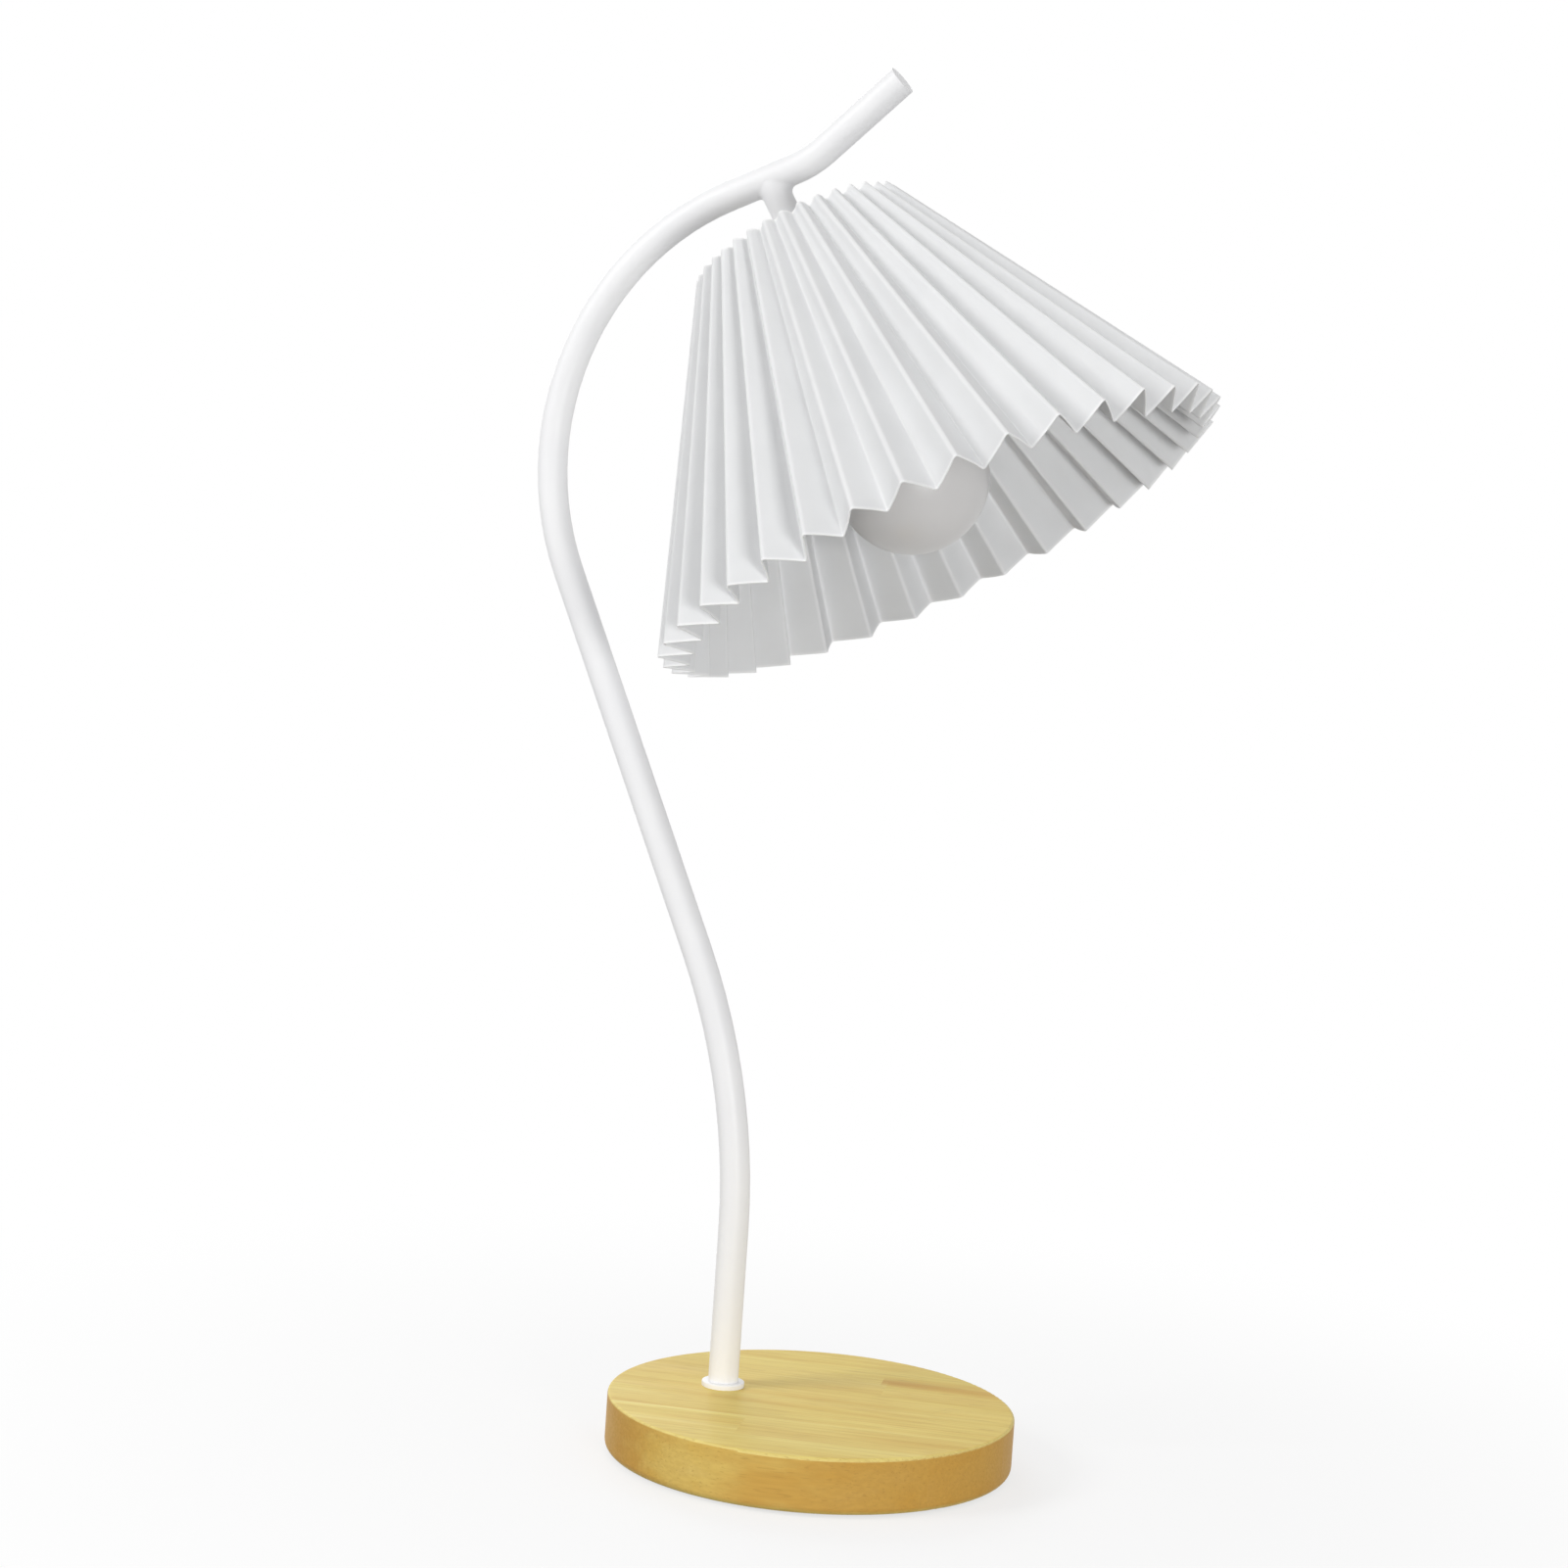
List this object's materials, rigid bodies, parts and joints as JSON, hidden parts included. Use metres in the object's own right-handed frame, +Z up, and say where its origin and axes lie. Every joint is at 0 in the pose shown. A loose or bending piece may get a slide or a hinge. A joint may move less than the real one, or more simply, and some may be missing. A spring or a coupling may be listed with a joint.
{
  "type": "pleated table lamp",
  "caption": "Table lamp with a round wooden base, a bent white stem with an upturned tip, and a tilted pleated shade over a screw-in globe bulb.",
  "frame": {"origin": "centre of the base's underside, on the surface that the lamp stands on", "axes": "+Z up, +X from the stem's foot towards the shade, XZ is the plane of the bent stem"},
  "size_m": [0.276, 0.2359, 0.5412],
  "materials": {
    "pale_wood": "satin clear varnish over pale straight-grained wood",
    "grey_pad": "matte foam",
    "white_plastic": "fine matte moulding",
    "white_paint": "satin white powder coat",
    "zinc_steel": "zinc plated",
    "brass": "plain",
    "brown_wire": "insulated wire",
    "blue_wire": "insulated wire",
    "glazed_insulator": "glazed",
    "nickel": "nickel plated",
    "shade_sheet": "matte folded sheet",
    "black_insulator": "dark glass-like",
    "bulb_plastic": "smooth moulding",
    "opal_globe": "opal, glossy",
    "led_aluminium": "plain"
  },
  "bodies": {
    "lamp": {"base_disc": "pale_wood", "base_pad": "grey_pad", "cord_inlet_bush": "white_plastic", "foot_collar": "white_paint", "foot_nipple": "zinc_steel", "foot_washer": "zinc_steel", "foot_spring_washer": "zinc_steel", "foot_nut": "zinc_steel", "terminal_block": "white_plastic", "terminal_inserts": "brass", "terminal_screws": "zinc_steel", "stem_tube": "white_paint", "stem_tip_plug": "white_paint", "holder_stub": "white_paint", "stub_weld": "white_paint", "wire_live": "brown_wire", "wire_neutral": "blue_wire", "holder_nipple": "zinc_steel", "holder_locknut": "zinc_steel", "holder_cap": "white_plastic", "holder_body": "white_plastic", "holder_insulator": "glazed_insulator", "holder_posts": "brass", "centre_contact": "brass", "screw_shell": "nickel", "shade_ring": "white_plastic"},
    "shade": {"pleated_shade": "shade_sheet", "shade_carrier": "white_paint"},
    "bulb_carriage": {"bulb_contact_button": "brass"},
    "bulb": {"bulb_insulator": "black_insulator", "bulb_screw_cap": "nickel", "bulb_housing": "bulb_plastic", "bulb_globe": "opal_globe", "bulb_led_plate": "led_aluminium"}
  },
  "joints": [
    {"name": "shade_swivel", "type": "hinge", "parent": "lamp", "child": "shade", "pos_m": [-0.0529, 0, 0.49845], "axis": [0.515, 0, -0.8572], "continuous": true},
    {"name": "bulb_travel", "type": "slide", "parent": "lamp", "child": "bulb_carriage", "axis": [0.515, 0, -0.8572], "range_m": [0, 0.01835]},
    {"name": "bulb_screw", "type": "hinge", "parent": "bulb_carriage", "child": "bulb", "pos_m": [-0.0529, 0, 0.49845], "axis": [0.515, 0, -0.8572], "range_deg": [0, 1800]}
  ],
  "couplings": [
    {"joint": "bulb_travel", "follows": "bulb_screw", "m_per_rad": 0.00057757}
  ]
}
